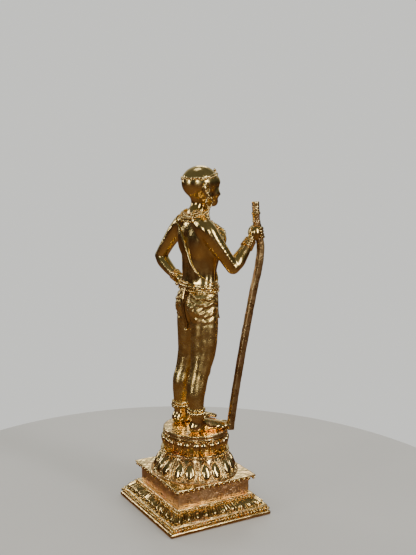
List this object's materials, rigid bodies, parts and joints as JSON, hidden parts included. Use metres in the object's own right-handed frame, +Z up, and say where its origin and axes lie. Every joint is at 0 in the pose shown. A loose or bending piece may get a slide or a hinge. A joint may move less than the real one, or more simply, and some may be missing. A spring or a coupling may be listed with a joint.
{
  "type": "brass temple figure",
  "caption": "Cast-brass figure of a standing young ascetic holding a tall staff, on a double lotus seat and a stepped square pedestal.",
  "frame": {"origin": "middle of the underside of the pedestal's square foot", "axes": "+Z up, the figure faces -Y, +X towards the figure's own left side"},
  "size_m": [0.0475, 0.0454, 0.1371],
  "materials": {
    "polished_brass": "polished cast brass with a light satin grain",
    "relief_brass": "cast relief, bright on the high parts and darker in the recesses",
    "base_brass": "turned and filed brass with pink copper residue along the edges",
    "rough_brass": "unpolished sandy casting skin, copper brown"
  },
  "bodies": {
    "root": {"plinth": "base_brass", "plinth_petals": "relief_brass", "foot_beads": "relief_brass", "plinth_beads": "relief_brass", "dado": "rough_brass", "slab": "base_brass", "slab_drops": "relief_brass", "lower_lotus": "relief_brass", "lotus_bead_ring": "relief_brass", "upper_lotus": "relief_brass", "seat_disc": "base_brass", "right_foot": "polished_brass", "left_foot": "polished_brass", "legs": "polished_brass", "torso": "polished_brass", "head": "polished_brass", "right_hand": "polished_brass", "left_hand": "polished_brass", "loincloth_front": "relief_brass", "loincloth_tail": "relief_brass", "waist_belt": "relief_brass", "waist_beads": "relief_brass", "sacred_thread": "relief_brass", "neck_beads": "relief_brass", "collar_beads": "relief_brass", "garland": "relief_brass", "garland_pendant": "relief_brass", "headband": "relief_brass", "headband_knot": "relief_brass", "right_earring": "relief_brass", "left_earring": "relief_brass", "right_bangles": "relief_brass", "left_bangles": "relief_brass", "right_anklet": "relief_brass", "left_anklet": "relief_brass", "staff_bar": "rough_brass", "staff_finial": "base_brass"}
  },
  "joints": []
}
